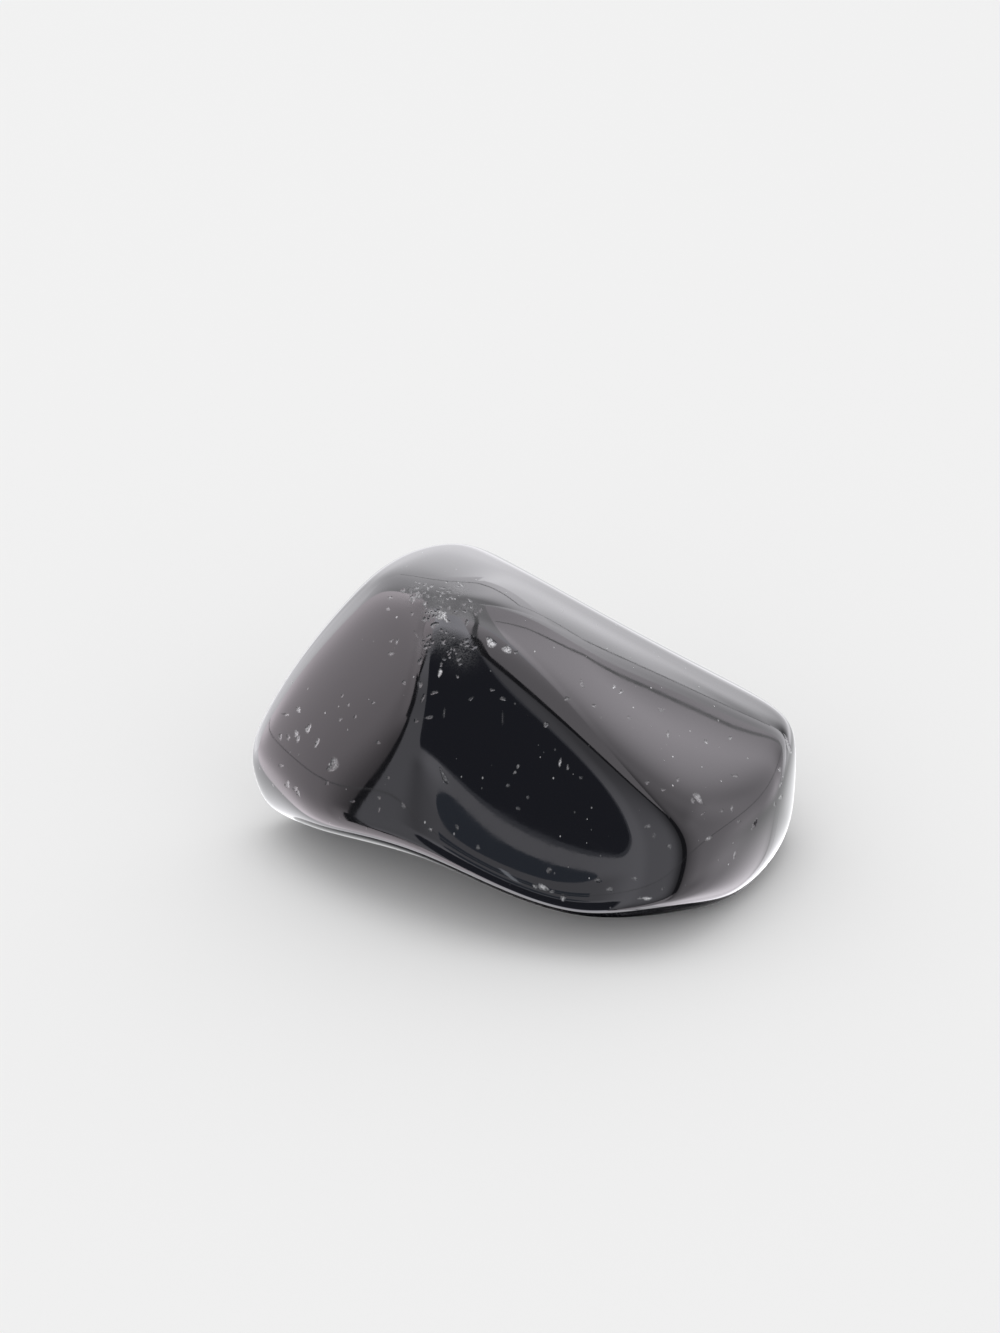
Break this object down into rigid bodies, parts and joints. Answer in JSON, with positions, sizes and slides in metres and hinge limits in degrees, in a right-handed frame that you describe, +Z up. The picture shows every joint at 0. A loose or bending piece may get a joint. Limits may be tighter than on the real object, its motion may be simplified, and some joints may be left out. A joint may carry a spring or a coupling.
{
  "type": "tumbled obsidian stone",
  "caption": "Small tumbled chunk of black obsidian with softly rounded worn faces, polished to a glassy shine, lying on its flat worn side.",
  "frame": {"origin": "on the surface the stone lies on, under the middle of its width and depth", "axes": "+X along the stone's length, -Y to its front, +Z up"},
  "size_m": [0.0395, 0.0254, 0.0221],
  "materials": {
    "obsidian": "polished black volcanic glass"
  },
  "bodies": {
    "root": {"stone": "obsidian"}
  },
  "joints": []
}
